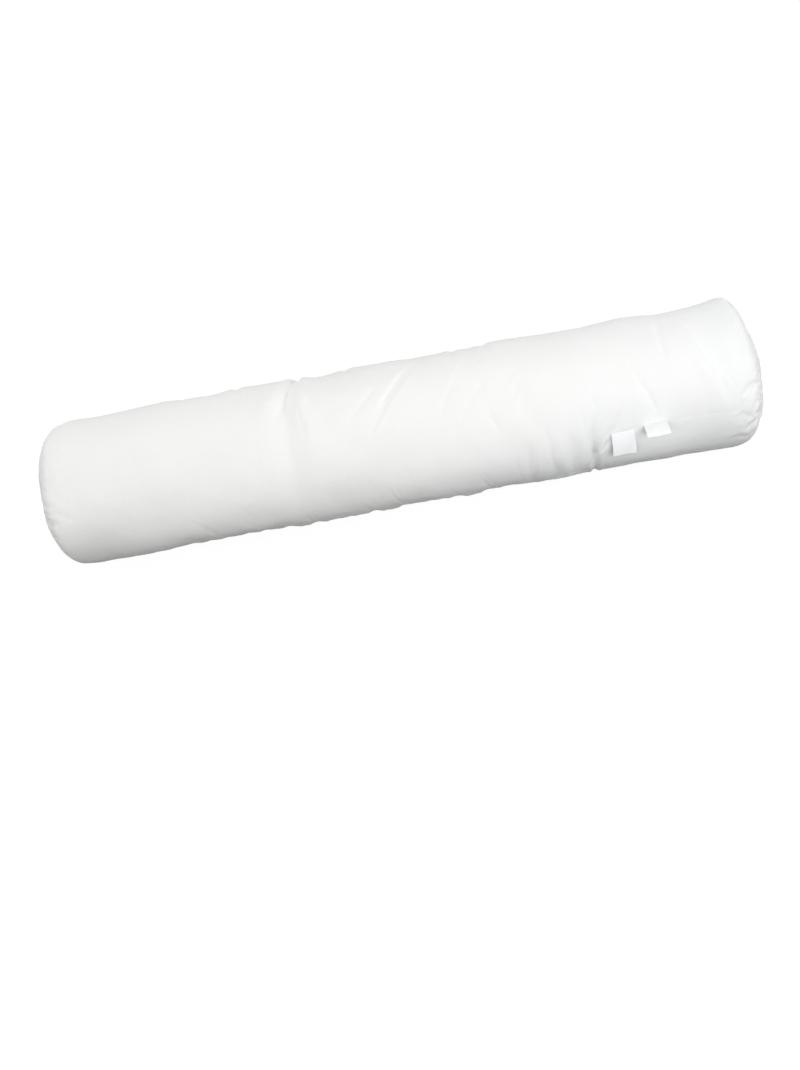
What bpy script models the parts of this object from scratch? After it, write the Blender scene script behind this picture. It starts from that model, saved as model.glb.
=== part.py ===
"""A round bolster cushion insert of plain woven cotton, filled with fibre, lying on its side.

The cushion lies along X and rests at z = 0 on a flattened strip of its underside. Its front
is -Y. Places on the barrel are given by x and by an angle round the axis: 0 degrees faces the
front, 90 degrees is the top, and -90 degrees is the underside.
"""

import math
import random
from collections import namedtuple

import bpy
import numpy as np
from mathutils import Vector, noise
from mathutils.bvhtree import BVHTree

# Driving dimensions, in metres
RADIUS = 0.100  # barrel, filled
SEAM_TO_SEAM = 0.944  # between the two end seams
CROWN = 0.020  # how far each end panel bulges past its seam
SETTLE = 0.008  # how far the filled cushion sinks onto its underside
SETTLE_BLEND = 0.004  # rounding where the underside leaves the floor
LUMP_HEIGHT = 0.0022  # unevenness of the filling
LUMP_SIZE = 0.085
SEAM_WIDTH = 0.0050
END_SEAM_DEPTH = 0.0034
LABEL_TAPE = 0.031  # width of the tape that both labels are cut from
LABEL_THICKNESS = 0.0010
LABEL_GAP = 0.00035  # between a label and the cover
LABEL_CUP = 0.0016
FLAT_WITHIN = 0.0004  # points this close to the floor lie on it
FINE = 0.00002

ROUND_STEPS = 288
BARREL_STEPS = 420
PANEL_STEPS = 26
CUSHION_TRIANGLES = 10400
LABEL_STEPS = 7

HALF_LENGTH = SEAM_TO_SEAM / 2
AXIS_HEIGHT = RADIUS - SETTLE

# How far each end seam draws the barrel in, and over what length, by the angle round the end
Shoulder = namedtuple("Shoulder", "end angle draw_in length")
SHOULDERS = (
    Shoulder("left", -135, 0.010, 0.032),
    Shoulder("left", -45, 0.006, 0.026),
    Shoulder("left", 45, 0.006, 0.026),
    Shoulder("left", 130, 0.010, 0.032),
    Shoulder("right", -135, 0.012, 0.034),
    Shoulder("right", -45, 0.009, 0.028),
    Shoulder("right", 45, 0.008, 0.026),
    Shoulder("right", 130, 0.003, 0.016),
)

# The long seam winds a little round the barrel, because the cover is twisted
SeamPoint = namedtuple("SeamPoint", "x angle depth")
LONG_SEAM = (
    SeamPoint(-0.472, -60, 0.0024),
    SeamPoint(-0.320, -52, 0.0026),
    SeamPoint(-0.170, -45, 0.0034),
    SeamPoint(0.000, -43, 0.0034),
    SeamPoint(0.105, -42, 0.0034),
    SeamPoint(0.190, -36, 0.0030),
    SeamPoint(0.236, -20, 0.0030),
    SeamPoint(0.258, 4, 0.0030),
    SeamPoint(0.285, 15, 0.0026),
    SeamPoint(0.330, 17, 0.0022),
    SeamPoint(0.400, 16, 0.0016),
    SeamPoint(0.472, 13, 0.0014),
)

# Stretches where the hand-closed seam stands up as a lip
Lip = namedtuple("Lip", "start end height")
LIPS = (
    Lip(-0.171, -0.136, 0.0042),
    Lip(-0.052, -0.013, 0.0040),
    Lip(0.064, 0.104, 0.0044),
)

# Pull folds and creases: each runs from x0, angle0 to x1, angle1
Fold = namedtuple("Fold", "x0 angle0 x1 angle1 width0 width1 depth0 depth1")
FOLDS = (
    # the pinch over the top, and the valley that opens below it
    Fold(-0.120, 158, -0.129, 126, 0.005, 0.005, 0.0012, 0.0042),
    Fold(-0.129, 126, -0.146, 84, 0.005, 0.010, 0.0042, 0.0036),
    Fold(-0.146, 84, -0.150, 30, 0.012, 0.026, 0.0036, 0.0016),
    Fold(-0.127, 124, -0.112, 84, 0.004, 0.008, 0.0030, 0.0022),
    Fold(-0.112, 84, -0.086, 52, 0.008, 0.012, 0.0022, 0.0006),
    # long creases where the cover is twisted
    Fold(0.050, 118, -0.014, 70, 0.0036, 0.0040, 0.0012, 0.0024),
    Fold(-0.014, 70, -0.070, 33, 0.0040, 0.0060, 0.0024, 0.0010),
    Fold(0.013, 92, -0.034, 54, 0.0034, 0.0040, 0.0018, 0.0014),
    Fold(-0.030, 80, -0.084, 47, 0.0040, 0.0054, 0.0019, 0.0010),
    Fold(0.112, 70, 0.072, 42, 0.0044, 0.0054, 0.0020, 0.0010),
    Fold(0.082, 78, 0.058, 56, 0.0038, 0.0044, 0.0014, 0.0010),
    Fold(0.119, 43, 0.121, 40, 0.0050, 0.0050, 0.0018, 0.0018),
    # shallow waists in the filling
    Fold(-0.262, 150, -0.226, 92, 0.024, 0.020, 0.0034, 0.0014),
    Fold(-0.098, 150, -0.086, 104, 0.022, 0.018, 0.0030, 0.0008),
    Fold(0.118, 160, 0.110, 100, 0.018, 0.014, 0.0032, 0.0008),
    Fold(0.380, 156, 0.362, 100, 0.026, 0.018, 0.0036, 0.0012),
    # nicks over the top
    Fold(-0.214, 142, -0.206, 104, 0.0050, 0.0060, 0.0024, 0.0016),
    Fold(-0.060, 138, -0.052, 104, 0.0050, 0.0060, 0.0026, 0.0012),
    Fold(0.092, 140, 0.084, 106, 0.0050, 0.0060, 0.0026, 0.0012),
    Fold(0.130, 142, 0.134, 104, 0.0050, 0.0060, 0.0024, 0.0012),
    # slack towards the right end
    Fold(0.398, 86, 0.417, 54, 0.0060, 0.0090, 0.0012, 0.0030),
    Fold(0.417, 54, 0.434, 28, 0.0090, 0.0070, 0.0030, 0.0016),
    Fold(0.356, 94, 0.353, 70, 0.0050, 0.0050, 0.0018, 0.0012),
    Fold(0.312, 54, 0.329, 30, 0.0050, 0.0050, 0.0012, 0.0018),
    # gathers above the long seam, and the pleat beside the labels
    Fold(0.160, 12, 0.165, -24, 0.0044, 0.0060, 0.0018, 0.0026),
    Fold(0.186, 20, 0.198, -20, 0.0044, 0.0060, 0.0018, 0.0028),
    Fold(0.216, 16, 0.221, -14, 0.0044, 0.0056, 0.0016, 0.0026),
    Fold(0.238, 26, 0.243, 0, 0.0044, 0.0050, 0.0014, 0.0024),
    Fold(0.247, 22, 0.251, -16, 0.0044, 0.0054, 0.0030, 0.0048),
    # slack at the back
    Fold(-0.330, 176, -0.290, 138, 0.006, 0.010, 0.0014, 0.0028),
    Fold(-0.240, 214, -0.262, 168, 0.006, 0.008, 0.0030, 0.0012),
    Fold(-0.040, 212, 0.010, 168, 0.005, 0.009, 0.0030, 0.0012),
    Fold(0.044, 222, 0.078, 186, 0.006, 0.008, 0.0026, 0.0010),
    Fold(0.190, 210, 0.236, 160, 0.006, 0.010, 0.0030, 0.0012),
    Fold(0.330, 216, 0.352, 178, 0.006, 0.008, 0.0026, 0.0010),
)

# Puckers of the long seam that stand out from the rest
Pucker = namedtuple("Pucker", "x above below width depth lean")
SEAM_PUCKERS = (
    Pucker(-0.171, 0.026, 0.014, 0.0050, 0.0040, -0.25),
    Pucker(-0.136, 0.030, 0.014, 0.0050, 0.0040, 0.25),
    Pucker(-0.052, 0.028, 0.014, 0.0050, 0.0040, -0.25),
    Pucker(-0.013, 0.032, 0.014, 0.0050, 0.0040, 0.25),
    Pucker(0.064, 0.028, 0.014, 0.0050, 0.0042, -0.25),
    Pucker(0.104, 0.034, 0.014, 0.0050, 0.0042, 0.25),
)
PUCKER_PITCH = 0.027  # along the long seam
PUCKER_DEPTH = 0.0020

# Puckers round the end seams that stand out from the rest
EndPucker = namedtuple("EndPucker", "end angle length depth lean")
BOLD_END_PUCKERS = (
    EndPucker("left", 50, 0.020, 0.0026, 0.10),
    EndPucker("left", 38, 0.018, 0.0028, -0.10),
    EndPucker("left", 24, 0.020, 0.0026, 0.00),
    EndPucker("left", 10, 0.016, 0.0024, -0.10),
    EndPucker("right", 58, 0.016, 0.0022, 0.30),
    EndPucker("right", 36, 0.034, 0.0030, -0.45),
    EndPucker("right", 25, 0.040, 0.0032, -0.50),
    EndPucker("right", 14, 0.038, 0.0032, -0.45),
    EndPucker("right", 2, 0.034, 0.0030, -0.40),
    EndPucker("right", -11, 0.028, 0.0026, -0.30),
)
END_PUCKERS = 44  # round each end seam
END_PUCKER_DEPTH = 0.0019
END_PUCKER_WIDTH = 0.0040
END_PUCKER_LENGTH = 0.026

# Labels sewn into the long seam. Each leaves the seam at start and ends at finish, in
# degrees out from straight down.
Label = namedtuple("Label", "name x length start finish")
LABELS = (
    Label("label_flat", 0.2855, 0.035, 46, 18),
    Label("label_tab", 0.3295, 0.024, 92, 66),
)


def smooth(t):
    """0 up to t = 0 and 1 from t = 1, with soft ends."""
    t = np.clip(t, 0.0, 1.0)
    return t * t * (3.0 - 2.0 * t)


def wrap(angle):
    """The angle in radians, brought to within half a turn of 0."""
    return (angle + math.pi) % (2.0 * math.pi) - math.pi


def seam_angle(x):
    """The long seam's angle at x, in radians, on a smooth curve through its points."""
    xs = np.array([point.x for point in LONG_SEAM])
    angles = np.radians([point.angle for point in LONG_SEAM])
    slopes = np.gradient(angles, xs)
    i = np.clip(np.searchsorted(xs, x) - 1, 0, len(xs) - 2)
    step = xs[i + 1] - xs[i]
    t = np.clip((x - xs[i]) / step, 0.0, 1.0)
    start = (2 * t**3 - 3 * t**2 + 1) * angles[i] + (t**3 - 2 * t**2 + t) * step * slopes[i]
    finish = (3 * t**2 - 2 * t**3) * angles[i + 1] + (t**3 - t**2) * step * slopes[i + 1]
    return start + finish


def shoulder(end, angle):
    """(draw_in, length) of one end's shoulder at each angle, easing from row to row."""
    rows = [row for row in SHOULDERS if row.end == end]
    at = np.degrees(angle)
    draw_in = np.zeros_like(angle)
    length = np.zeros_like(angle)
    for row, after in zip(rows, rows[1:] + rows[:1]):
        span = (after.angle - row.angle) % 360
        t = ((at - row.angle) % 360) / span
        here = t < 1.0
        ease = smooth(t)
        draw_in = np.where(here, row.draw_in + (after.draw_in - row.draw_in) * ease, draw_in)
        length = np.where(here, row.length + (after.length - row.length) * ease, length)
    return draw_in, length


def crease(across, width):
    """A groove, -1 at its middle, with a low swell of cloth along either side."""
    q = np.abs(across) / width
    return -np.exp(-(q**1.5)) + 0.32 * np.exp(-(((q - 2.1) / 0.9) ** 2))


def fold_height(fold, x, angle):
    """What one fold adds to the barrel's radius."""
    a0, a1 = math.radians(fold.angle0), math.radians(fold.angle1)
    run_x = fold.x1 - fold.x0
    run_s = (a1 - a0) * RADIUS
    run = math.hypot(run_x, run_s)
    along_x = x - fold.x0
    along_s = wrap(angle - (a0 + a1) / 2) * RADIUS + run_s / 2
    t = (along_x * run_x + along_s * run_s) / run**2
    across = (along_x * run_s - along_s * run_x) / run
    held = np.clip(t, 0.0, 1.0)
    width = fold.width0 + (fold.width1 - fold.width0) * held
    depth = fold.depth0 + (fold.depth1 - fold.depth0) * held
    past = np.abs(t - held) * run / (1.6 * width)
    return depth * crease(across, width) * np.exp(-(past**2))


def seam_puckers():
    """The named puckers of the long seam, and small ones at an uneven pitch between them."""
    draw = random.Random(11)
    rows = list(SEAM_PUCKERS)
    x = -HALF_LENGTH + PUCKER_PITCH
    while x < HALF_LENGTH - PUCKER_PITCH / 2:
        if all(abs(x - row.x) > 0.6 * PUCKER_PITCH for row in SEAM_PUCKERS):
            above = draw.uniform(0.014, 0.034)
            below = draw.uniform(0.010, 0.026)
            width = draw.uniform(0.0040, 0.0056)
            depth = PUCKER_DEPTH * draw.uniform(0.6, 1.2)
            rows.append(Pucker(x, above, below, width, depth, draw.uniform(-0.35, 0.35)))
        x += PUCKER_PITCH * draw.uniform(0.7, 1.3)
    return rows


def long_seam_height(x, angle):
    """What the long seam, its lips and its puckers add to the barrel's radius."""
    off = wrap(angle - seam_angle(x)) * RADIUS
    depth = np.interp(x, [point.x for point in LONG_SEAM], [point.depth for point in LONG_SEAM])
    height = -depth * np.exp(-((off / SEAM_WIDTH) ** 2))
    for row in seam_puckers():
        reach = np.where(off > 0, row.above, row.below)
        fade = 1.0 - smooth(np.abs(off) / reach)
        height = height + row.depth * crease(x - row.x - row.lean * off, row.width) * fade
    for lip in LIPS:
        middle, half = (lip.start + lip.end) / 2, (lip.end - lip.start) / 2
        rise = np.clip(1.0 - ((x - middle) / half) ** 2, 0.0, 1.0)
        height = height + lip.height * rise * np.exp(-(((off - 0.0045) / 0.0034) ** 2))
        height = height + 0.6 * lip.height * rise * np.exp(-(((off + 0.0075) / 0.0050) ** 2))
    return height


def end_puckers(end):
    """One end's bold puckers, and smaller ones at an uneven pitch between them."""
    draw = random.Random({"left": 23, "right": 37}[end])
    rows = [row for row in BOLD_END_PUCKERS if row.end == end]
    bold = [row.angle for row in rows]
    pitch = 360.0 / END_PUCKERS
    for i in range(END_PUCKERS):
        angle = pitch * (i + draw.uniform(-0.3, 0.3)) - 180.0
        length = END_PUCKER_LENGTH * draw.uniform(0.5, 1.25)
        depth = END_PUCKER_DEPTH * draw.uniform(0.45, 1.25)
        lean = draw.uniform(-0.4, 0.4)
        if all(abs(angle - other) > 0.8 * pitch for other in bold):
            rows.append(EndPucker(end, angle, length, depth, lean))
    return rows


def end_pucker_height(end, from_seam, angle, radius):
    """What one end seam's puckers add, at a distance from the seam along the cloth."""
    height = np.zeros_like(angle)
    for row in end_puckers(end):
        fade = (1.0 - smooth(from_seam / row.length)) * smooth(from_seam / 0.004 + 0.35)
        across = wrap(angle - math.radians(row.angle)) * radius - row.lean * from_seam
        height = height + row.depth * crease(across, END_PUCKER_WIDTH) * fade
    return height


def lumps(x, radius, angle):
    """The uneven filling: soft swells all over the cushion."""
    places = np.stack([x, -radius * np.cos(angle), radius * np.sin(angle)], axis=-1) / LUMP_SIZE
    swells = [
        noise.noise(Vector(place)) + 0.4 * noise.noise(Vector(place) * 2.3)
        for place in places.reshape(-1, 3)
    ]
    return LUMP_HEIGHT * np.array(swells).reshape(x.shape)


def barrel_points():
    """The barrel's points, one row of ROUND_STEPS points for each step along X."""
    # Steps lie closer together towards the two end seams
    even = np.linspace(-1.0, 1.0, BARREL_STEPS + 1)
    xs = HALF_LENGTH * (even + 0.12 * np.sin(math.pi * even) / math.pi)
    angles = np.linspace(-math.pi, math.pi, ROUND_STEPS, endpoint=False)
    x, angle = np.meshgrid(xs, angles, indexing="ij")
    radius = RADIUS + lumps(x, RADIUS, angle)
    for end, from_seam in (("left", x + HALF_LENGTH), ("right", HALF_LENGTH - x)):
        draw_in, length = shoulder(end, angle)
        radius = radius - draw_in * np.clip(1.0 - from_seam / length, 0.0, 1.0) ** 2.2
        radius = radius - END_SEAM_DEPTH * np.exp(-((from_seam / SEAM_WIDTH) ** 2))
        radius = radius + end_pucker_height(end, from_seam, angle, RADIUS)
    # Folds and the long seam fade out before they reach the end seams
    inner = smooth((HALF_LENGTH - np.abs(x)) / 0.012)
    relief = long_seam_height(x, angle)
    for fold in FOLDS:
        relief = relief + fold_height(fold, x, angle)
    radius = radius + relief * inner
    return np.stack([x, -radius * np.cos(angle), radius * np.sin(angle)], axis=-1)


def panel_points(end, rim):
    """An end panel's rings, from just inside its seam to next to its middle."""
    side = -1.0 if end == "left" else 1.0
    angles = np.linspace(-math.pi, math.pi, ROUND_STEPS, endpoint=False)
    rings = []
    for step in range(1, PANEL_STEPS):
        out = 1.0 - step / PANEL_STEPS
        ring = rim.copy()
        ring[:, 1:] *= out
        from_seam = RADIUS * (1.0 - out)
        crown = CROWN * (1.0 - out**3.2)
        swell = 2.0 * lumps(ring[:, 0], RADIUS * out, angles) * (1.0 - out**4)
        pucker = end_pucker_height(end, np.full(ROUND_STEPS, from_seam), angles, RADIUS * out)
        tuck = END_SEAM_DEPTH * 0.5 * math.exp(-((from_seam / SEAM_WIDTH) ** 2))
        ring[:, 0] = side * (HALF_LENGTH + crown - tuck + swell + 0.7 * pucker)
        rings.append(ring)
    return rings


def settle(points):
    """Sinks the round cushion onto its underside, which becomes flat at z = 0."""
    z = points[:, 2] + AXIS_HEIGHT
    eased = (z + SETTLE_BLEND) ** 2 / (4.0 * SETTLE_BLEND)
    points[:, 2] = np.where(z > SETTLE_BLEND, z, np.where(z < -SETTLE_BLEND, 0.0, eased))
    return points


def material(name, colour, roughness):
    made = bpy.data.materials.new(name)
    made.use_nodes = True
    shader = made.node_tree.nodes["Principled BSDF"]
    shader.inputs["Base Color"].default_value = (*colour, 1.0)
    shader.inputs["Roughness"].default_value = roughness
    shader.inputs["Metallic"].default_value = 0.0
    return made


def object_of(name, points, faces, finish):
    """A new object with this mesh, in the scene."""
    mesh = bpy.data.meshes.new(name)
    mesh.from_pydata([tuple(point) for point in points], [], faces)
    mesh.materials.append(finish)
    made = bpy.data.objects.new(name, mesh)
    bpy.context.scene.collection.objects.link(made)
    return made


def cushion():
    """The filled cover as one closed solid: barrel, two end panels and every seam."""
    barrel = barrel_points()
    left = panel_points("left", barrel[0])
    right = panel_points("right", barrel[-1])
    rings = left[::-1] + list(barrel) + right
    points = np.concatenate(rings)
    middles = [(-HALF_LENGTH - CROWN, 0.0, 0.0), (HALF_LENGTH + CROWN, 0.0, 0.0)]
    points = settle(np.concatenate([points, middles]))
    faces = []
    for row in range(len(rings) - 1):
        for i in range(ROUND_STEPS):
            j = (i + 1) % ROUND_STEPS
            start, after = row * ROUND_STEPS, (row + 1) * ROUND_STEPS
            faces.append((start + i, after + i, after + j, start + j))
    last = (len(rings) - 1) * ROUND_STEPS
    for i in range(ROUND_STEPS):
        j = (i + 1) % ROUND_STEPS
        faces.append((len(points) - 2, i, j))
        faces.append((len(points) - 1, last + j, last + i))
    finish = material("bleached_cotton", (0.86, 0.86, 0.84), 0.85)
    made = object_of("bolster", points, faces, finish)

    # Thinned where the cover is smooth, which leaves the folds their points
    thin = made.modifiers.new("thin", "DECIMATE")
    thin.ratio = CUSHION_TRIANGLES / (2.0 * ROUND_STEPS * (len(rings) - 1))
    bpy.context.view_layer.update()
    graph = bpy.context.evaluated_depsgraph_get()
    thinned = bpy.data.meshes.new_from_object(made.evaluated_get(graph))
    made.modifiers.clear()
    made.data = thinned
    for vertex in thinned.vertices:
        if vertex.co.z < FLAT_WITHIN:
            vertex.co.z = 0.0
    thinned.shade_smooth()
    return made


def clearance(point, cover):
    """How far a point lies outside the cover, negative inside it."""
    nearest, normal, _, _ = cover.find_nearest(point)
    gap = point - nearest
    return gap.length if gap.dot(normal) > 0 else -gap.length


def label(row, cover):
    """A short length of tape that leaves the long seam and bends down."""
    angle = float(seam_angle(np.array(row.x)))
    out = Vector((0.0, -math.cos(angle), math.sin(angle)))
    middle = Vector((row.x, 0.0, AXIS_HEIGHT))
    place = cover.ray_cast(middle + out * 2.0 * RADIUS, -out)[0]
    step = row.length / LABEL_STEPS
    points = []
    for i in range(LABEL_STEPS + 1):
        down = i / LABEL_STEPS
        turn = math.radians(row.start + (row.finish - row.start) * down)
        normal = Vector((0.0, -math.cos(turn), math.sin(turn)))
        for j in range(LABEL_STEPS + 1):
            across = j / LABEL_STEPS - 0.5
            # The loose end cups a little
            cup = LABEL_CUP * down * (4.0 * across**2 - 0.4)
            points.append(place + Vector((across * LABEL_TAPE, 0.0, 0.0)) + normal * cup)
        place = place + step * Vector((0.0, -math.sin(turn), -math.cos(turn)))
    # Slid out of the seam until the tape clears the cover
    wanted = LABEL_GAP + LABEL_THICKNESS / 2
    nearest = min(clearance(point, cover) for point in points)
    while nearest < wanted:
        points = [point + out * (wanted - nearest + FINE) for point in points]
        nearest = min(clearance(point, cover) for point in points)
    row_of = LABEL_STEPS + 1
    faces = [
        (i * row_of + j, (i + 1) * row_of + j, (i + 1) * row_of + j + 1, i * row_of + j + 1)
        for i in range(LABEL_STEPS)
        for j in range(LABEL_STEPS)
    ]
    finish = material("satin_tape", (0.93, 0.93, 0.95), 0.45)
    tape = object_of(row.name, points, faces, finish)
    thick = tape.modifiers.new("thickness", "SOLIDIFY")
    thick.thickness = LABEL_THICKNESS
    thick.offset = 0.0


for old in list(bpy.data.objects):
    bpy.data.objects.remove(old)
body = cushion()
cover_tree = BVHTree.FromObject(body, bpy.context.evaluated_depsgraph_get())
for label_row in LABELS:
    label(label_row, cover_tree)
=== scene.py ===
import math
import random
from collections import namedtuple

import bpy
import numpy as np
from mathutils import Matrix, Vector, noise
from mathutils.bvhtree import BVHTree


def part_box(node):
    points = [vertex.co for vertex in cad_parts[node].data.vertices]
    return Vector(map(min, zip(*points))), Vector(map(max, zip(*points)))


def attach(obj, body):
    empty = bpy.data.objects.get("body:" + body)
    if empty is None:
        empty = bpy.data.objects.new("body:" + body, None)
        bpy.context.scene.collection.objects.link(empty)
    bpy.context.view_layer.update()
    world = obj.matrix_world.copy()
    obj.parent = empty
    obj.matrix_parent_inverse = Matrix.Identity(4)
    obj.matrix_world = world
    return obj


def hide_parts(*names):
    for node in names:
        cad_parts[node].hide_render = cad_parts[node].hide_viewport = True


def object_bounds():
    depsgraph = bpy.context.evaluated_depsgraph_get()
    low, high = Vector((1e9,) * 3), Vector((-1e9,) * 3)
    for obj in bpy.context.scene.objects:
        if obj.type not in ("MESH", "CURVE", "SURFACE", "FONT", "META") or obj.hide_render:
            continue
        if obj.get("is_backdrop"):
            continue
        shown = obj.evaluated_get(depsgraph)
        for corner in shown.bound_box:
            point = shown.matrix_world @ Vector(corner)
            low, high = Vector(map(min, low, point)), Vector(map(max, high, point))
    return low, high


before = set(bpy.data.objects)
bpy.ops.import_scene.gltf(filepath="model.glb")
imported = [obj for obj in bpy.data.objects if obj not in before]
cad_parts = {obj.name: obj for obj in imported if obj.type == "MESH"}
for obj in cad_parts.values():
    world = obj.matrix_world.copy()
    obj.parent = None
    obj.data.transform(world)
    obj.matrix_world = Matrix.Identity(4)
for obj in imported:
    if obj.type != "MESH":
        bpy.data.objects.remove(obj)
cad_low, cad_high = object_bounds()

scene = bpy.context.scene
low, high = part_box("bolster")

# ------------------------------------------------------------
# Camera. It stands close in front of the cushion and above it, square to its length, and
# leans a little to one side, so that the end with the labels shows higher.
# ------------------------------------------------------------
CAMERA_DISTANCE = 1.40
CAMERA_RISE = math.radians(45)
CAMERA_LEAN = math.radians(10.4)
VIEW_WIDTH = 1.108  # how much the frame takes in across, at the cushion's middle
VIEW_RISE = -0.127  # the frame is slid down, so that the cushion sits high in it
SENSOR = 36.0

AIM_LEFT = 0.002  # the camera looks this far left of the cushion's middle,
AIM_BELOW = 0.005  # and this far below it

middle = Vector(((low.x + high.x) / 2 - AIM_LEFT, 0.0, (low.z + high.z) / 2 - AIM_BELOW))
back = Vector((0.0, -math.cos(CAMERA_RISE), math.sin(CAMERA_RISE)))
level = Vector((1.0, 0.0, 0.0))
rise = back.cross(level)
across = level * math.cos(CAMERA_LEAN) - rise * math.sin(CAMERA_LEAN)
upward = rise * math.cos(CAMERA_LEAN) + level * math.sin(CAMERA_LEAN)
stand = Matrix((across, upward, back)).transposed().to_4x4()
stand.translation = middle + back * CAMERA_DISTANCE
lens = bpy.data.cameras.new("camera")
lens.sensor_fit = "HORIZONTAL"
lens.sensor_width = SENSOR
lens.lens = SENSOR * CAMERA_DISTANCE / VIEW_WIDTH
lens.shift_y = VIEW_RISE
camera = bpy.data.objects.new("camera", lens)
camera.matrix_world = stand
scene.collection.objects.link(camera)
scene.camera = camera
scene.view_settings.view_transform = "Standard"


# ------------------------------------------------------------
# Studio. The cushion lies on a wide sweep of opal acrylic, lit from behind, so it glows an even
# white and takes almost no shadow. Soft white light comes from all round, most of it from a
# little above level, and from one large low light in front. Almost none comes from below.
# ------------------------------------------------------------
SWEEP_COLOUR = "#4A4A4A"  # dark, so that it is the glow that makes it white
SWEEP_GLOW = 0.955
SANDING_MM = 25.0
SWEEP_FLAT = 20.0  # from here out it curves up, so that it lies behind the cushion from all sides
SWEEP_RISE = 12.0
SWEEP_SIDES = 64
SWEEP_STEPS = 12
# How much light comes from each height, given as the sine of the angle above level
ROOM_LIGHT = 2.43
ROOM_SHARES = ((0.12, 0.01), (0.26, 1.0), (0.46, 1.0), (0.62, 0.33))
KEY_POWER = 3.6
KEY_SIZE = (1.4, 0.6)
KEY_PLACE = Vector((0.40, -0.90, 0.45))


def linear(colour):
    """An sRGB hex colour as linear red, green, blue and alpha."""
    parts = [int(colour[i : i + 2], 16) / 255 for i in (1, 3, 5)]
    made = [c / 12.92 if c <= 0.04045 else ((c + 0.055) / 1.055) ** 2.4 for c in parts]
    return (*made, 1.0)


def add(tree, kind, settings=None, **links):
    """Adds a node. A setting is a property or an input. A link feeds an input from a socket,
    or from a node's first output."""
    node = tree.nodes.new(kind)
    for name, value in (settings or {}).items():
        if isinstance(name, int) or name in node.inputs:
            node.inputs[name].default_value = value
        else:
            setattr(node, name, value)
    for name, source in links.items():
        at = int(name[1:]) if name[0] == "_" else name.replace("_", " ")
        socket = source.outputs[0] if isinstance(source, bpy.types.Node) else source
        tree.links.new(socket, node.inputs[at])
    return node


def new_material(name):
    """A new material, its node tree, and the output that is the tree's only node."""
    made = bpy.data.materials.new(name)
    made.use_nodes = True
    made.node_tree.nodes.clear()
    return made, made.node_tree, made.node_tree.nodes.new("ShaderNodeOutputMaterial")


# Opal acrylic, sanded matt: no gloss, a faint unevenness, and the lamps' glow through it
acrylic, tree, output = new_material("opal_acrylic")
place = add(tree, "ShaderNodeTexCoord").outputs["Object"]
sanding = add(
    tree, "ShaderNodeTexNoise", {"Scale": 1000.0 / SANDING_MM, "Detail": 3.0}, Vector=place
)
nap = add(tree, "ShaderNodeBump", {"Strength": 0.04, "Distance": 0.001}, Height=sanding)
shader = add(
    tree,
    "ShaderNodeBsdfPrincipled",
    {
        "Base Color": linear(SWEEP_COLOUR),
        "Roughness": 0.9,
        "Specular IOR Level": 0.2,
        "Emission Color": linear("#FFFFFF"),
        "Emission Strength": SWEEP_GLOW,
    },
    Normal=nap,
)
tree.links.new(shader.outputs[0], output.inputs["Surface"])

# The sweep is a round sheet, flat in the middle and curved up at its edge
profile = [(SWEEP_FLAT * i / 3, 0.0) for i in range(1, 4)]
for i in range(1, SWEEP_STEPS + 1):
    turn = 0.5 * math.pi * i / SWEEP_STEPS
    profile.append((SWEEP_FLAT + SWEEP_RISE * math.sin(turn), SWEEP_RISE * (1.0 - math.cos(turn))))
points = [(0.0, 0.0, 0.0)]
for reach, height in profile:
    for i in range(SWEEP_SIDES):
        turn = 2.0 * math.pi * i / SWEEP_SIDES
        points.append((reach * math.cos(turn), reach * math.sin(turn), height))
faces = [(0, 1 + i, 1 + (i + 1) % SWEEP_SIDES) for i in range(SWEEP_SIDES)]
for ring in range(len(profile) - 1):
    start, after = 1 + ring * SWEEP_SIDES, 1 + (ring + 1) * SWEEP_SIDES
    for i in range(SWEEP_SIDES):
        j = (i + 1) % SWEEP_SIDES
        faces.append((start + i, after + i, after + j, start + j))
floor_mesh = bpy.data.meshes.new("floor")
floor_mesh.from_pydata(points, [], faces)
floor_mesh.materials.append(acrylic)
floor = bpy.data.objects.new("floor", floor_mesh)
floor.visible_diffuse = False
floor.visible_glossy = False
scene.collection.objects.link(floor)
floor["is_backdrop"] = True

world = bpy.data.worlds.new("room")
world.use_nodes = True
scene.world = world
tree = world.node_tree
way = add(tree, "ShaderNodeTexCoord")
apart = add(tree, "ShaderNodeSeparateXYZ", None, Vector=way.outputs["Generated"])
shares = add(tree, "ShaderNodeValToRGB", None, Fac=apart.outputs["Z"])
ramp = shares.color_ramp.elements
while len(ramp) < len(ROOM_SHARES):
    ramp.new(1.0)
for stop, (height, share) in zip(ramp, ROOM_SHARES):
    stop.position = height
    stop.color = (share, share, share, 1.0)
tree.nodes["Background"].inputs["Strength"].default_value = ROOM_LIGHT
tree.links.new(shares.outputs["Color"], tree.nodes["Background"].inputs["Color"])

lamp = bpy.data.lights.new("key", "AREA")
lamp.shape = "RECTANGLE"
lamp.size, lamp.size_y = KEY_SIZE
lamp.energy = KEY_POWER
key = bpy.data.objects.new("key", lamp)
key.location = KEY_PLACE
key.rotation_euler = (KEY_PLACE - middle).to_track_quat("Z", "Y").to_euler()
key.visible_camera = False
scene.collection.objects.link(key)


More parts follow.
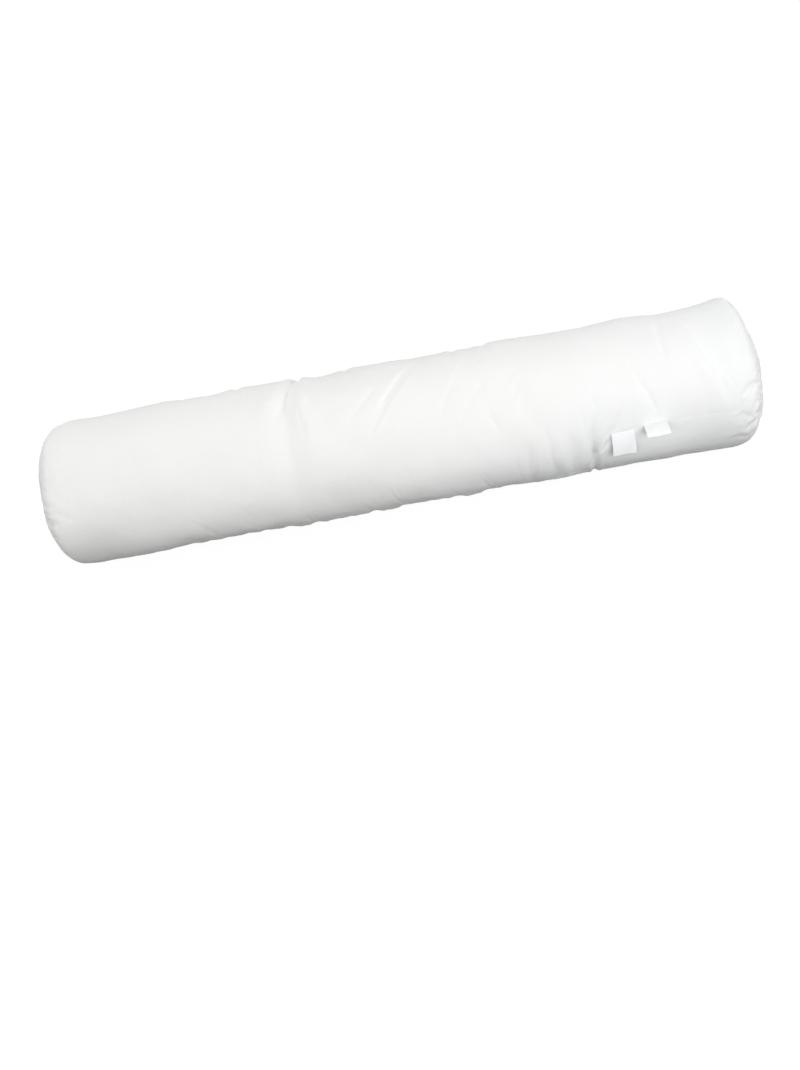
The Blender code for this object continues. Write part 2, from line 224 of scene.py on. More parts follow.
# ------------------------------------------------------------
# The cushion. Its cover is a long barrel panel of bleached cotton percale, closed along its
# length by one seam, with a round panel eased onto each end, and it is blown full of
# polyester fibre. The filling swells the cloth, and the thread draws every seam in.
# ------------------------------------------------------------
SETTLE = 0.008  # how far the filled cushion sinks onto its underside
RADIUS = 0.100
HALF_LENGTH = 0.472  # to either end seam
AXIS_HEIGHT = RADIUS - SETTLE
INSIDE = 0.0008  # an end seam is felt for this far in from its edge
DEEP = 0.02  # the end panels are felt for from this far inside their seams
THREAD_REACH = 0.010  # the mesh is finer this near a seam
EASED = 0.6  # how much of the end panels' coarser puckers the filling presses out,
EASED_REACH = 0.035  # over this much of the barrel,
EASED_ROUND = 24  # by so many averages round each ring
TAUT_FROM = 0.250  # right of here the cloth is taut, and spans the long seam's channel
TAUT_OVER = 0.030  # it grows taut over this much of its length,
TAUT_REACH = 0.030  # and to either side of that seam
CORNER = 0.0055  # one corner of the right end stands up in a point
CORNER_FROM = 0.415  # rising from here to the end
CORNER_ANGLE = math.radians(122)
CORNER_SPREAD = math.radians(26)
CORNER_SLACK = 0.7  # and its panel falls away behind it,
CORNER_SLACK_ROUND = 2.0  # over this many times the corner's own spread
CORNER_SLACK_IN = 0.6  # and this share of the way in to the panel's middle
TWIST_EASE = 0.8  # how far round, in radians, the threads follow the winding seam
SPACING_PARTS = 4000  # how finely an uneven spacing is worked out

cover_tree = BVHTree.FromObject(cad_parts["bolster"], bpy.context.evaluated_depsgraph_get())

# The long seam winds a little round the barrel, because the cover is twisted. Angles are
# round the axis, in degrees: 0 faces the front, 90 is the top, -90 the underside. Depth is that
# of the channel the thread draws in, and bridged is how far taut cloth spans the gap beside it.
SeamPoint = namedtuple("SeamPoint", "x angle depth bridged")
LONG_SEAM = (
    SeamPoint(-0.472, -60, 0.0012, 0.0000),
    SeamPoint(-0.320, -52, 0.0014, 0.0000),
    SeamPoint(-0.170, -45, 0.0018, 0.0000),
    SeamPoint(0.000, -43, 0.0018, 0.0000),
    SeamPoint(0.105, -42, 0.0018, 0.0000),
    SeamPoint(0.190, -36, 0.0012, 0.0006),
    SeamPoint(0.236, -20, 0.0004, 0.0022),
    SeamPoint(0.257, 4, 0.0003, 0.0026),
    SeamPoint(0.267, 12, 0.0003, 0.0010),
    SeamPoint(0.285, 15, 0.0003, 0.0000),
    SeamPoint(0.330, 17, 0.0003, 0.0000),
    SeamPoint(0.400, 16, 0.0002, 0.0000),
    SeamPoint(0.472, 13, 0.0002, 0.0000),
)


def smooth(t):
    """0 up to t = 0 and 1 from t = 1, with soft ends."""
    t = np.clip(t, 0.0, 1.0)
    return t * t * (3.0 - 2.0 * t)


def wrap(angle):
    """The angle in radians, brought to within half a turn of 0."""
    return (angle + math.pi) % (2.0 * math.pi) - math.pi


def seam_angle(x):
    """The long seam's angle at x, in radians, on a smooth curve through its points."""
    xs = np.array([point.x for point in LONG_SEAM])
    angles = np.radians([point.angle for point in LONG_SEAM])
    slopes = np.gradient(angles, xs)
    i = np.clip(np.searchsorted(xs, x) - 1, 0, len(xs) - 2)
    step = xs[i + 1] - xs[i]
    t = np.clip((x - xs[i]) / step, 0.0, 1.0)
    start = (2 * t**3 - 3 * t**2 + 1) * angles[i] + (t**3 - 2 * t**2 + t) * step * slopes[i]
    finish = (3 * t**2 - 2 * t**3) * angles[i + 1] + (t**3 - t**2) * step * slopes[i + 1]
    return start + finish


def thread_angle(x, turn):
    """The angle round the axis at which the thread a turn away from the long seam runs."""
    ends = (LONG_SEAM[0].angle, LONG_SEAM[-1].angle)
    twist = np.radians(np.interp(x, (-HALF_LENGTH, HALF_LENGTH), ends))
    return twist + turn + (seam_angle(x) - twist) * np.exp(-((turn / TWIST_EASE) ** 2))


def spaced(start, end, steps, density):
    """steps + 1 places from start to end, closer together where density is higher."""
    fine = np.linspace(start, end, SPACING_PARTS)
    weight = density(fine)
    total = np.concatenate([[0.0], np.cumsum((weight[1:] + weight[:-1]) / 2)])
    return np.interp(np.linspace(0.0, total[-1], steps + 1), total, fine)


def spoke(angle):
    """The way straight out from the cushion's axis at an angle round it."""
    return 0.0, -math.cos(angle), math.sin(angle)


def felt(start, way):
    """How far along a way the CAD solid's surface lies from a point inside it."""
    place = cover_tree.ray_cast(Vector(start), Vector(way))
    return place[3] if place[0] is not None else math.nan


def mended(field):
    """The field with any place that a ray slipped past filled in from its neighbours."""
    for row, column in zip(*np.nonzero(np.isnan(field))):
        field[row, column] = np.nanmean(field[row, (column - 2) : (column + 3)])
    return field


def softened(field, times, along=True):
    """The field averaged with its neighbours, round each ring and, if along, from ring to ring."""
    for _ in range(times):
        field = (np.roll(field, 1, axis=1) + 2.0 * field + np.roll(field, -1, axis=1)) / 4.0
        if along:
            padded = np.concatenate([field[:1], field, field[-1:]])
            field = (padded[:-2] + 2.0 * field + padded[2:]) / 4.0
    return field


def evened(field, turns, reach):
    """The field averaged round each ring, over this reach of cloth."""
    gap = wrap(turns[:, None] - turns) * RADIUS
    weight = np.exp(-((gap / reach) ** 2)) * np.gradient(turns)
    return field @ (weight / weight.sum(axis=1, keepdims=True)).T


ENDS = (("left", 0, -1.0), ("right", -1, 1.0))  # each end's name, ring and way along the axis


def laid_out(x, radius, angle):
    """Points this far along the axis and out from it, at these angles round it."""
    return np.stack([x, -radius * np.cos(angle), AXIS_HEIGHT + radius * np.sin(angle)], axis=-1)


class Cloth:
    """The cover's threads: where each ring of them and each thread along it lies."""

    def __init__(self, xs, outs, turns, soften):
        self.outs, self.turns = outs, turns
        x, turn = np.meshgrid(xs, turns, indexing="ij")
        self.x, self.turn = x, turn
        self.angle = thread_angle(x, turn)
        felt_x = np.clip(x, INSIDE - HALF_LENGTH, HALF_LENGTH - INSIDE)
        reach = [
            [felt((px, 0.0, AXIS_HEIGHT), spoke(a)) for px, a in zip(row_x, row_a)]
            for row_x, row_a in zip(felt_x, self.angle)
        ]
        self.radius = softened(mended(np.array(reach)), soften)
        # The full ends press the coarser of their puckers out of the cloth
        near_end = EASED * np.exp(-(((HALF_LENGTH - np.abs(x)) / EASED_REACH) ** 2))
        self.radius += near_end * (softened(self.radius, EASED_ROUND, along=False) - self.radius)
        taut = smooth((x - TAUT_FROM) / TAUT_OVER) * np.exp(-((turn * RADIUS / TAUT_REACH) ** 2))
        self.radius += taut * (evened(self.radius, turns, TAUT_REACH) - self.radius)
        self.panels = {}
        for end, row, side in ENDS:
            rim, angle = self.radius[row], self.angle[row]
            start = side * (HALF_LENGTH - DEEP)
            crown = [
                [
                    felt(
                        (start, -r * o * math.cos(a), AXIS_HEIGHT + r * o * math.sin(a)),
                        (side, 0.0, 0.0),
                    )
                    for r, a in zip(rim, angle)
                ]
                for o in outs
            ]
            crown = softened(mended(np.array(crown)), soften)
            crown += EASED * (softened(crown, EASED_ROUND, along=False) - crown)
            self.panels[end] = crown - DEEP
        off_corner = wrap(self.angle - CORNER_ANGLE) / CORNER_SPREAD
        self.panels["right"] *= 1.0 - CORNER_SLACK * np.exp(
            -((off_corner[-1] / CORNER_SLACK_ROUND) ** 2)
            - ((1.0 - self.outs[:, None]) / CORNER_SLACK_IN) ** 2
        )
        pulled_up = smooth((x - CORNER_FROM) / (HALF_LENGTH - CORNER_FROM))
        self.radius += CORNER * pulled_up * np.exp(-(off_corner**2))

    def rings(self, barrel_relief=0.0, panel_relief=None):
        """Every ring of points from the left middle to the right middle, with relief added."""
        radius = self.radius + barrel_relief
        barrel = laid_out(self.x, radius, self.angle)
        ends = {}
        for end, row, side in ENDS:
            proud = self.panels[end] + (panel_relief[end] if panel_relief else 0.0)
            reach = radius[row] * self.outs[:, None]
            ends[end] = laid_out(side * (HALF_LENGTH + proud), reach, self.angle[row])
        return np.concatenate([ends["left"][::-1], barrel, ends["right"]])


def skin(name, rings, middles):
    """A closed mesh over rings of points, with a point in the middle of either end."""
    count = rings.shape[1]
    points = np.concatenate([rings.reshape(-1, 3), middles])
    faces = []
    for row in range(len(rings) - 1):
        start, after = row * count, (row + 1) * count
        for i in range(count):
            j = (i + 1) % count
            faces.append((start + i, after + i, after + j, start + j))
    last = (len(rings) - 1) * count
    for i in range(count):
        j = (i + 1) % count
        faces.append((len(points) - 2, i, j))
        faces.append((len(points) - 1, last + j, last + i))
    made = bpy.data.meshes.new(name)
    made.from_pydata(points.tolist(), [], faces)
    return made


def middles_of(rings):
    """The points in the middles of the two ends, level with their smallest rings."""
    return np.array([rings[0].mean(axis=0), rings[-1].mean(axis=0)])


CLOTH_STEP = 0.0045  # the cells of the mesh that is blown up
CLOTH_RINGS = 20  # its rings over each end panel
CLOTH_FRAMES = 20
CLOTH_PRESSURE = 4.0
CLOTH_CAP = 0.008  # no thread moves further than this
SEWN_REACH = 0.007  # a seam holds the cloth short this far from it
LONG_HOLD = 0.2  # the long seam is held this much as hard as the end seams
SLACK = 0.01  # how much too large the cloth between the seams is,
GATHER = 0.08  # and how much the end seams draw it up, as shares of its width
BROAD = 50  # times that the movement is averaged, to leave its broad swells out


def blown_up(cloth):
    """How each point of the cover moves when it is blown up with its seams held short."""
    rings = cloth.rings()
    mesh = skin("balloon", rings, middles_of(rings))
    balloon = bpy.data.objects.new("balloon", mesh)
    scene.collection.objects.link(balloon)
    before = np.concatenate([rings.reshape(-1, 3), middles_of(rings)])
    off_rim = np.repeat((1.0 - cloth.outs)[:, None] * RADIUS, len(cloth.turns), axis=1)
    rims = np.exp(-((off_rim / SEWN_REACH) ** 2))
    at_ends = np.exp(-(((HALF_LENGTH - np.abs(cloth.x)) / SEWN_REACH) ** 2))
    along = LONG_HOLD * np.exp(-((cloth.turn * RADIUS / SEWN_REACH) ** 2))
    along = along * (1.0 - smooth((cloth.x - TAUT_FROM) / TAUT_OVER))
    sewn = balloon.vertex_groups.new(name="sewn")
    weights = np.concatenate([rims[::-1], np.maximum(at_ends, along), rims]).ravel()
    for i, weight in enumerate(weights):
        sewn.add([i], weight, "REPLACE")

    # A light cotton, which stretches little and folds easily
    held = balloon.modifiers.new("cloth", "CLOTH")
    held.settings.quality = 4
    held.settings.mass = 0.15
    held.settings.tension_stiffness = 12.0
    held.settings.compression_stiffness = 12.0
    held.settings.shear_stiffness = 3.0
    held.settings.bending_stiffness = 0.05
    held.settings.use_pressure = True
    held.settings.uniform_pressure_force = CLOTH_PRESSURE
    held.settings.effector_weights.gravity = 0.0
    held.settings.vertex_group_shrink = "sewn"
    held.settings.shrink_min = -SLACK
    held.settings.shrink_max = GATHER
    held.point_cache.frame_start = 1
    held.point_cache.frame_end = CLOTH_FRAMES
    for step in range(1, CLOTH_FRAMES + 1):
        scene.frame_set(step)
    blown = balloon.evaluated_get(bpy.context.evaluated_depsgraph_get())
    after = np.empty(len(mesh.vertices) * 3, np.float32)
    blown.data.vertices.foreach_get("co", after)
    scene.frame_set(1)
    bpy.data.objects.remove(balloon)
    move = (after.reshape(-1, 3) - before)[:-2].reshape(rings.shape)

    # Only the wrinkles are kept: the cushion's own form stays as it was
    move = move - move.mean(axis=1, keepdims=True)
    panel = np.ones((len(cloth.outs), 1))
    angle = np.concatenate([panel * cloth.angle[0], cloth.angle, panel * cloth.angle[-1]])
    outward = np.stack([np.zeros_like(angle), -np.cos(angle), np.sin(angle)], axis=-1)
    wider = (move * outward).sum(axis=-1).mean(axis=1)
    move = move - wider[:, None, None] * outward
    move = move - softened(move, BROAD)
    far = np.linalg.norm(move, axis=-1, keepdims=True)
    return move * np.minimum(1.0, CLOTH_CAP / np.maximum(far, 1e-9))


def between(field, rows, columns):
    """The field's values at these places between its rows and columns, on smooth curves."""
    for axis, at in ((0, rows), (1, columns)):
        size = field.shape[axis]
        floor = np.floor(at).astype(int)
        t = (at - floor).reshape((-1, 1, 1) if axis == 0 else (1, -1, 1))
        weights = (
            (-t + 2 * t**2 - t**3) / 2,
            (2 - 5 * t**2 + 3 * t**3) / 2,
            (t + 4 * t**2 - 3 * t**3) / 2,
            (t**3 - t**2) / 2,
        )
        total = 0.0
        for step, weight in enumerate(weights):
            index = floor + step - 1
            index = np.clip(index, 0, size - 1) if axis == 0 else index % size
            total = total + weight * np.take(field, index, axis=axis)
        field = total
    return field


COLUMNS = 280  # threads round the cushion
BARREL_ROWS = 480
PANEL_ROWS = 28
NEAR_SEAM = 2.2  # how much closer the mesh lies at a seam


def near_seam(distance):
    """How close together the mesh's lines lie at a distance from a seam."""
    return 1.0 + NEAR_SEAM * np.exp(-((distance / THREAD_REACH) ** 2))


CLOTH_SOFTEN = 4  # averages that take the CAD solid's facets out

xs = spaced(-HALF_LENGTH, HALF_LENGTH, BARREL_ROWS, lambda x: near_seam(HALF_LENGTH - np.abs(x)))
turns = spaced(-math.pi, math.pi, COLUMNS, lambda turn: near_seam(turn * RADIUS))[:-1]
outs = spaced(0.0, 1.0, PANEL_ROWS, lambda out: near_seam((1.0 - out) * RADIUS))[1:-1][::-1]
cloth = Cloth(xs, outs, turns, CLOTH_SOFTEN)

wrinkles = 0.0
steps = round(2.0 * HALF_LENGTH / CLOTH_STEP)
round_steps = round(2.0 * math.pi * RADIUS / CLOTH_STEP)
even_outs = 1.0 - np.arange(1, CLOTH_RINGS) / CLOTH_RINGS
even_turns = np.linspace(-math.pi, math.pi, round_steps, endpoint=False)
balloon = Cloth(np.linspace(-HALF_LENGTH, HALF_LENGTH, steps + 1), even_outs, even_turns, 1)
coarse = blown_up(balloon)
still = np.zeros_like(coarse[:1])  # the middles of the end panels
coarse = np.concatenate([still, coarse, still])
rows = np.concatenate(
    [
        CLOTH_RINGS * outs[::-1],
        CLOTH_RINGS + steps * (xs + HALF_LENGTH) / (2.0 * HALF_LENGTH),
        2 * CLOTH_RINGS + steps - CLOTH_RINGS * outs,
    ]
)
wrinkles = between(coarse, rows, (turns + math.pi) / (2.0 * math.pi) * round_steps)

# The cover's creases, and the sharp middles of its larger folds. Each runs from x0, angle0 to
# x1, angle1, with angles as for the long seam, and goes from depth0 to depth1.
Crease = namedtuple("Crease", "x0 angle0 x1 angle1 width depth0 depth1")
CREASES = (
    # the pinch over the top, and the valley that runs down from it
    Crease(-0.124, 152, -0.132, 124, 0.0030, 0.0004, 0.0012),
    Crease(-0.132, 124, -0.140, 100, 0.0030, 0.0010, 0.0009),
    Crease(-0.140, 100, -0.162, 64, 0.0034, 0.0009, 0.0005),
    Crease(-0.134, 112, -0.122, 56, 0.0034, 0.0014, 0.0006),
    Crease(-0.141, 96, -0.147, 12, 0.0130, 0.0030, 0.0022),
    # where the cover is twisted
    Crease(0.046, 118, -0.010, 76, 0.0019, 0.0004, 0.0007),
    Crease(-0.010, 76, -0.050, 50, 0.0019, 0.0007, 0.0006),
    Crease(-0.050, 50, -0.075, 34, 0.0019, 0.0006, 0.0003),
    Crease(0.020, 92, -0.030, 54, 0.0018, 0.0003, 0.0007),
    Crease(-0.030, 54, -0.058, 38, 0.0018, 0.0007, 0.0003),
    Crease(-0.028, 81, -0.083, 49, 0.0022, 0.0006, 0.0008),
    Crease(0.092, 92, 0.060, 60, 0.0022, 0.0004, 0.0008),
    Crease(0.110, 70, 0.073, 42, 0.0022, 0.0004, 0.0009),
    Crease(0.119, 43, 0.121, 40, 0.0030, 0.0012, 0.0012),
    # nicks over the top
    Crease(-0.214, 142, -0.206, 106, 0.0030, 0.0012, 0.0006),
    Crease(-0.060, 138, -0.052, 106, 0.0030, 0.0014, 0.0006),
    Crease(0.092, 140, 0.084, 108, 0.0030, 0.0014, 0.0006),
    Crease(0.130, 142, 0.134, 106, 0.0030, 0.0012, 0.0006),
    Crease(-0.284, 140, -0.290, 116, 0.0026, 0.0009, 0.0003),
    Crease(-0.104, 142, -0.099, 112, 0.0024, 0.0010, 0.0004),
    Crease(0.012, 141, 0.004, 114, 0.0026, 0.0010, 0.0003),
    Crease(0.182, 140, 0.178, 116, 0.0026, 0.0009, 0.0003),
    # slack towards the right end
    Crease(0.400, 84, 0.4055, 61, 0.0036, 0.0008, 0.0014),
    Crease(0.4055, 61, 0.4195, 37, 0.0038, 0.0014, 0.0012),
    Crease(0.4195, 37, 0.426, 25, 0.0038, 0.0012, 0.0005),
    Crease(0.469, 26, 0.444, -2, 0.0024, 0.0012, 0.0003),
    Crease(0.470, 36, 0.438, 16, 0.0024, 0.0010, 0.0003),
    Crease(0.469, 8, 0.454, -21, 0.0026, 0.0012, 0.0003),
    Crease(0.470, 48, 0.452, 34, 0.0020, 0.0009, 0.0003),
    Crease(0.356, 94, 0.353, 70, 0.0028, 0.0008, 0.0006),
    Crease(0.312, 54, 0.329, 30, 0.0028, 0.0006, 0.0010),
    # gathers above the long seam, beside the labels
    Crease(0.142, 2, 0.150, -22, 0.0022, 0.0003, 0.0008),
    Crease(0.162, 26, 0.157, -8, 0.0022, 0.0004, 0.0010),
    Crease(0.176, 8, 0.178, -16, 0.0022, 0.0003, 0.0008),
    Crease(0.184, 29, 0.191, -6, 0.0022, 0.0004, 0.0011),
    Crease(0.208, 31, 0.197, 8, 0.0022, 0.0005, 0.0008),
    Crease(0.213, 8, 0.218, -16, 0.0022, 0.0003, 0.0009),
    Crease(0.232, 36, 0.237, 13, 0.0022, 0.0006, 0.0010),
    # tight puckers that run up out of the long seam
    Crease(-0.145, -12, -0.136, -28, 0.0018, 0.0004, 0.0016),
    Crease(-0.138, -10, -0.130, -26, 0.0016, 0.0002, 0.0012),
    Crease(-0.068, -12, -0.056, -34, 0.0018, 0.0004, 0.0018),
    Crease(-0.060, -20, -0.050, -38, 0.0016, 0.0003, 0.0014),
    Crease(-0.030, 2, -0.014, -25, 0.0018, 0.0004, 0.0018),
    Crease(-0.020, 0, -0.007, -26, 0.0016, 0.0003, 0.0014),
    Crease(0.050, -12, 0.063, -31, 0.0018, 0.0004, 0.0018),
    Crease(0.057, -18, 0.070, -34, 0.0016, 0.0003, 0.0014),
    Crease(0.092, -4, 0.105, -23, 0.0018, 0.0004, 0.0018),
    Crease(0.099, -2, 0.111, -20, 0.0016, 0.0003, 0.0014),
    # the fold beside the longer label
    Crease(0.2440, 17, 0.2475, -4, 0.0026, 0.0010, 0.0036),
    Crease(0.2475, -4, 0.2555, -50, 0.0032, 0.0036, 0.0030),
)
CREASE_SHARPNESS = 1.5  # 1 is a sharp bottom and 2 a round one
SWELL = 0.32  # the cloth beside a crease stands up by this share of its depth,
SWELL_AT = 2.1  # this many widths away,
SWELL_WIDTH = 0.9  # over this many
CREASE_FADE = 3.0  # widths in which a crease runs out past its ends
GAP = 0.0052  # half the width of what taut cloth spans beside the long seam
CHANNEL = 0.0016  # half the width of the gap that the thread draws into the cloth
CHANNEL_SHARPNESS = 1.2  # on the same scale
END_CHANNEL_DEPTH = 0.0012
PANEL_SHARE = 0.5  # the share of that depth on the end panel's side of the thread
SMALL_PUCKERS = 66  # round each end seam
SMALL_PUCKER_WIDTH = 0.0024
SMALL_PUCKER_DEPTH = 0.0009
SMALL_PUCKER_LENGTHS = (0.006, 0.018)
SMALL_PUCKER_DEPTHS = (0.4, 1.3)  # shares of that depth
PUCKER_FRONT = math.radians(15)  # the end seams are drawn tighter in front
PUCKER_SPREAD = math.radians(45)
PUCKER_SHIFT = 0.35  # how far each strays from its even place, as a share of the pitch
PUCKER_LEAN = 0.5  # how far it may lean, as a slope
LONG_PUCKER_PITCH = 0.011
LONG_PUCKER_PITCHES = (0.6, 1.5)  # shares of that pitch
LONG_PUCKER_WIDTH = 0.0026
LONG_PUCKER_DEPTH = 0.0007
LONG_PUCKER_DEPTHS = (0.3, 1.3)  # shares of that depth
LONG_PUCKER_UP = (0.006, 0.020)  # their lengths above the seam
LONG_PUCKER_DOWN = (0.006, 0.016)  # and below it
LOOSE_TO = 0.205  # right of here the long seam hardly puckers:
TAUT_LOSS = 0.8  # the puckers lose this share of their depth
CRUMPLE = 0.00045  # how far the cloth's soft crumples stand up,
CRUMPLE_SIZE = 0.030  # over how much cloth,
CRUMPLE_LEVEL = 0.5  # from what level, as a share of the first,
FINER_SHARE = 0.35  # and how much finer ones add to them,
FINER_TIMES = 2.7  # that are this many times as fine
LUMPS = 0.0022  # how far the bunched fibre stands up,
LUMP_SIZE = 0.075  # and over how much cloth
LENGTHWISE = 0.97  # the way out is almost square to the axis, and turns only over the ends
RESTING = 0.0003  # lower than this, the cloth lies on the floor
LIFTED = 0.010  # and above this it is free to fold
SEAM_END = 0.012  # the barrel's folds die away this near its ends
# How much of the wrinkling shows along the cushion: least at the ends and where it is pinched
WRINKLE_PLACES = (-HALF_LENGTH, -0.40, -0.30, -0.20, -0.13, -0.05, 0.08, 0.20, 0.30, 0.42)
WRINKLE_SHARES = (0.25, 0.4, 0.9, 0.8, 0.4, 0.5, 0.5, 0.6, 0.8, 0.5)


def groove(across, width):
    """A groove, -1 at its middle, with a low swell of cloth along either side."""
    q = np.abs(across) / width
    return -np.exp(-(q**CREASE_SHARPNESS)) + SWELL * np.exp(-(((q - SWELL_AT) / SWELL_WIDTH) ** 2))


def channel(off):
    """The gap at a line of stitches: a sharp bottom, with the cloth rolling over on both sides."""
    return -np.exp(-((np.abs(off) / CHANNEL) ** CHANNEL_SHARPNESS))


def crease_height(row, x, angle):
    """What one crease adds to the barrel's radius."""
    a0, a1 = math.radians(row.angle0), math.radians(row.angle1)
    run_x, run_s = row.x1 - row.x0, (a1 - a0) * RADIUS
    run = math.hypot(run_x, run_s)
    along_x = x - row.x0
    along_s = wrap(angle - (a0 + a1) / 2) * RADIUS + run_s / 2
    t = (along_x * run_x + along_s * run_s) / run**2
    across = (along_x * run_s - along_s * run_x) / run
    held = np.clip(t, 0.0, 1.0)
    depth = row.depth0 + (row.depth1 - row.depth0) * held
    past = np.abs(t - held) * run / (CREASE_FADE * row.width)
    return depth * groove(across, row.width) * np.exp(-(past**2))


def small_puckers(seed, from_seam, angle, radius):
    """Fine puckers round an end seam, at an uneven pitch and of uneven length."""
    draw = random.Random(seed)
    height = np.zeros_like(angle)
    for i in range(SMALL_PUCKERS):
        shift = draw.uniform(-PUCKER_SHIFT, PUCKER_SHIFT)
        middle = 2.0 * math.pi * (i + shift) / SMALL_PUCKERS
        length = draw.uniform(*SMALL_PUCKER_LENGTHS)
        in_front = math.exp(-((wrap(middle - PUCKER_FRONT) / PUCKER_SPREAD) ** 2))
        depth = SMALL_PUCKER_DEPTH * draw.uniform(*SMALL_PUCKER_DEPTHS) * (1.0 + in_front)
        lean = draw.uniform(-PUCKER_LEAN, PUCKER_LEAN)
        across = wrap(angle - middle) * radius - lean * from_seam
        fade = 1.0 - smooth(from_seam / length)
        height = height + depth * groove(across, SMALL_PUCKER_WIDTH) * fade
    return height


def long_puckers(x, off):
    """Fine puckers along the long seam, to either side of it."""
    draw = random.Random(5)
    height = np.zeros_like(x)
    place = LONG_PUCKER_PITCH - HALF_LENGTH
    while place < HALF_LENGTH - LONG_PUCKER_PITCH:
        above_seam = draw.uniform(*LONG_PUCKER_UP)
        below_seam = draw.uniform(*LONG_PUCKER_DOWN)
        reach = np.where(off > 0, above_seam, below_seam)
        depth = LONG_PUCKER_DEPTH * draw.uniform(*LONG_PUCKER_DEPTHS)
        across = x - place - draw.uniform(-PUCKER_LEAN, PUCKER_LEAN) * off
        fade = 1.0 - smooth(np.abs(off) / reach)
        height = height + depth * groove(across, LONG_PUCKER_WIDTH) * fade
        place += LONG_PUCKER_PITCH * draw.uniform(*LONG_PUCKER_PITCHES)
    return height


def crumple(rings):
    """Soft, shallow crumples in the cloth, over broader lumps where the fibre has bunched."""
    heights = []
    for point in rings.reshape(-1, 3):
        place = Vector(point) / CRUMPLE_SIZE
        fold = CRUMPLE_LEVEL - abs(noise.noise(place))
        fold += FINER_SHARE * noise.noise(place * FINER_TIMES)
        heights.append(CRUMPLE * fold + LUMPS * noise.noise(Vector(point) / LUMP_SIZE))
    return np.array(heights).reshape(rings.shape[:2])


def outward(points):
    """The way out of the cushion at each point, as unit vectors."""
    way = points * (1.0 - LENGTHWISE, 1.0, 1.0) - (0.0, 0.0, AXIS_HEIGHT)
    return way / np.linalg.norm(way, axis=-1, keepdims=True)


barrel_relief = np.zeros_like(cloth.x)
for row in CREASES:
    barrel_relief = barrel_relief + crease_height(row, cloth.x, cloth.angle)
off_long = cloth.turn * RADIUS
seam_places = [point.x for point in LONG_SEAM]
depth = np.interp(cloth.x, seam_places, [point.depth for point in LONG_SEAM])
bridged = np.interp(cloth.x, seam_places, [point.bridged for point in LONG_SEAM])
barrel_relief = barrel_relief + depth * channel(off_long)
loose = 1.0 - TAUT_LOSS * smooth((cloth.x - LOOSE_TO) / TAUT_OVER)
barrel_relief = barrel_relief + loose * long_puckers(cloth.x, off_long)
barrel_relief = barrel_relief + bridged * np.exp(-((off_long / GAP) ** 2))
barrel_relief = barrel_relief * smooth((HALF_LENGTH - np.abs(cloth.x)) / SEAM_END)
panel_relief = {}
for end, seed, from_seam, row in (
    ("left", 101, cloth.x + HALF_LENGTH, 0),
    ("right", 202, HALF_LENGTH - cloth.x, -1),
):
    barrel_relief = barrel_relief + END_CHANNEL_DEPTH * channel(from_seam)
    barrel_relief = barrel_relief + small_puckers(seed, from_seam, cloth.angle, RADIUS)
    across_panel = np.repeat((1.0 - outs)[:, None] * RADIUS, len(turns), axis=1)
    around = np.repeat(cloth.angle[row][None], len(outs), axis=0)
    puckered = small_puckers(seed, across_panel, around, RADIUS * outs[:, None])
    panel_relief[end] = PANEL_SHARE * END_CHANNEL_DEPTH * channel(across_panel) + puckered

base = cloth.rings()
rings = cloth.rings(barrel_relief, panel_relief)
rings = rings + outward(base) * crumple(base)[..., None]

# The underside stays flat where the cushion rests on it, and its folds ease out above that
above = smooth(base[..., 2:] / LIFTED)
strength = np.interp(base[..., :1], WRINKLE_PLACES, WRINKLE_SHARES)
rings = base + (rings - base + wrinkles * strength) * above
rings[..., 2] = np.where(base[..., 2] < RESTING, 0.0, np.maximum(rings[..., 2], RESTING / 3))
cushion_mesh = skin("bolster_cushion", rings, middles_of(rings))
cushion_mesh.shade_smooth()

# The weave follows the cloth. The UV map is in metres: round and along the barrel panel, and
# straight across each end panel, which is cut as a flat disc.
count = len(turns)
panel_rows = len(outs)
last_ring = panel_rows + len(xs) - 1
corner_at = np.empty(len(cushion_mesh.loops), np.int32)
cushion_mesh.loops.foreach_get("vertex_index", corner_at)
starts = np.empty(len(cushion_mesh.polygons), np.int32)
sizes = np.empty(len(cushion_mesh.polygons), np.int32)
cushion_mesh.polygons.foreach_get("loop_start", starts)
cushion_mesh.polygons.foreach_get("loop_total", sizes)
ring_at = np.minimum(corner_at // count, len(rings) - 1)
ring_at[corner_at == rings.shape[0] * count] = 0
column = corner_at % count
lowest_ring = np.minimum.reduceat(ring_at, starts)
highest_ring = np.maximum.reduceat(ring_at, starts)
in_panel = (lowest_ring < panel_rows) | (highest_ring > last_ring)
lowest_column = np.minimum.reduceat(column, starts)
highest_column = np.maximum.reduceat(column, starts)
wraps = (highest_column == count - 1) & (lowest_column == 0)
column = np.where(np.repeat(wraps, sizes) & (column == 0), count, column)
arc = np.concatenate([turns, [math.pi]]) * RADIUS
points = np.concatenate([rings.reshape(-1, 3), middles_of(rings)])
across_disc = points[corner_at][:, 1:]
along_barrel = np.stack([arc[column], xs[np.clip(ring_at - panel_rows, 0, len(xs) - 1)]], axis=-1)
weave = cushion_mesh.uv_layers.new(name="weave")
laid_flat = np.where(np.repeat(in_panel, sizes)[:, None], across_disc, along_barrel)
weave.uv.foreach_set("vector", laid_flat.astype(np.float32).ravel())

cushion = bpy.data.objects.new("bolster_cushion", cushion_mesh)
scene.collection.objects.link(cushion)

